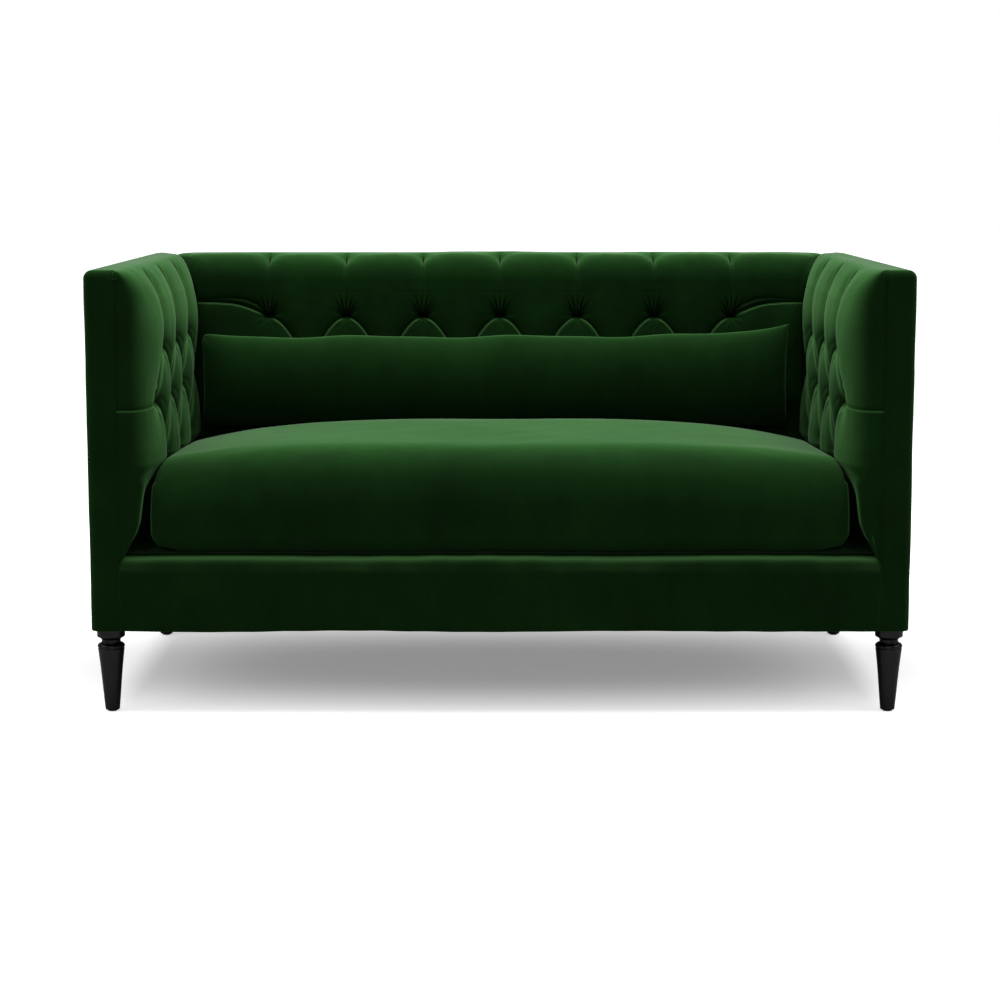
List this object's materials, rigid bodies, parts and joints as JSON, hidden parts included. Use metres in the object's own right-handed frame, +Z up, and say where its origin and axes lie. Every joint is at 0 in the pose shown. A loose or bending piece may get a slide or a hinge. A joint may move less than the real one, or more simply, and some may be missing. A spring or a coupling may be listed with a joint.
{
  "type": "tufted loveseat",
  "caption": "Velvet loveseat with straight arms as high as the back, diamond tufting inside, a loose bench cushion, a lumbar pillow and turned legs.",
  "frame": {"origin": "on the floor, under the middle of the whole piece", "axes": "+X along the width to the sitter's left, which is the viewer's right from the front, -Y to the front, +Z up"},
  "size_m": [1.524, 0.914, 0.83],
  "materials": {
    "velvet": "matte",
    "dust_cloth": "matte",
    "hessian": "matte",
    "frame_wood": "matte",
    "spring_steel": "satin",
    "leg_lacquer": "gloss",
    "glide_plastic": "matte"
  },
  "bodies": {
    "frame": {"inside_arm_left": "velvet", "inside_arm_right": "velvet", "inside_back": "velvet", "arm_facing_left": "velvet", "arm_facing_right": "velvet", "outside_arm_left": "velvet", "outside_arm_right": "velvet", "outside_back": "velvet", "front_border": "velvet", "dust_cover": "dust_cloth", "deck_pad": "velvet", "arm_backing_left": "hessian", "arm_backing_right": "hessian", "back_backing": "hessian", "front_rail": "frame_wood", "rear_rail": "frame_wood", "centre_bearer": "frame_wood", "side_rail_left": "frame_wood", "side_rail_right": "frame_wood", "post_front_left": "frame_wood", "post_front_right": "frame_wood", "post_rear_left": "frame_wood", "post_rear_right": "frame_wood", "arm_top_rail_left": "frame_wood", "arm_top_rail_right": "frame_wood", "arm_tack_rail_left": "frame_wood", "arm_tack_rail_right": "frame_wood", "corner_block_front_left": "frame_wood", "corner_block_front_right": "frame_wood", "corner_block_rear_left": "frame_wood", "corner_block_rear_right": "frame_wood", "back_top_rail": "frame_wood", "back_tack_rail": "frame_wood", "back_centre_post": "frame_wood", "seat_spring_1": "spring_steel", "seat_spring_2": "spring_steel", "seat_spring_3": "spring_steel", "seat_spring_4": "spring_steel", "seat_spring_5": "spring_steel", "seat_spring_6": "spring_steel", "tie_wire_1": "spring_steel", "tie_wire_2": "spring_steel", "leg_front_left": "leg_lacquer", "leg_front_right": "leg_lacquer", "leg_rear_left": "leg_lacquer", "leg_rear_right": "leg_lacquer", "leg_bolt_front_left": "spring_steel", "leg_bolt_front_right": "spring_steel", "leg_bolt_rear_left": "spring_steel", "leg_bolt_rear_right": "spring_steel", "glide_front_left": "glide_plastic", "glide_front_right": "glide_plastic", "glide_rear_left": "glide_plastic", "glide_rear_right": "glide_plastic"},
    "seat_cushion": {"seat_cushion": "velvet"},
    "lumbar_pillow": {"lumbar_pillow": "velvet"}
  },
  "joints": [
    {"name": "seat_cushion_slide", "type": "slide", "parent": "frame", "child": "seat_cushion", "axis": [0, -1, 0], "range_m": [0, 0.75]},
    {"name": "lumbar_pillow_lift", "type": "slide", "parent": "seat_cushion", "child": "lumbar_pillow", "axis": [0, 0, 1], "range_m": [0, 0.4]}
  ]
}
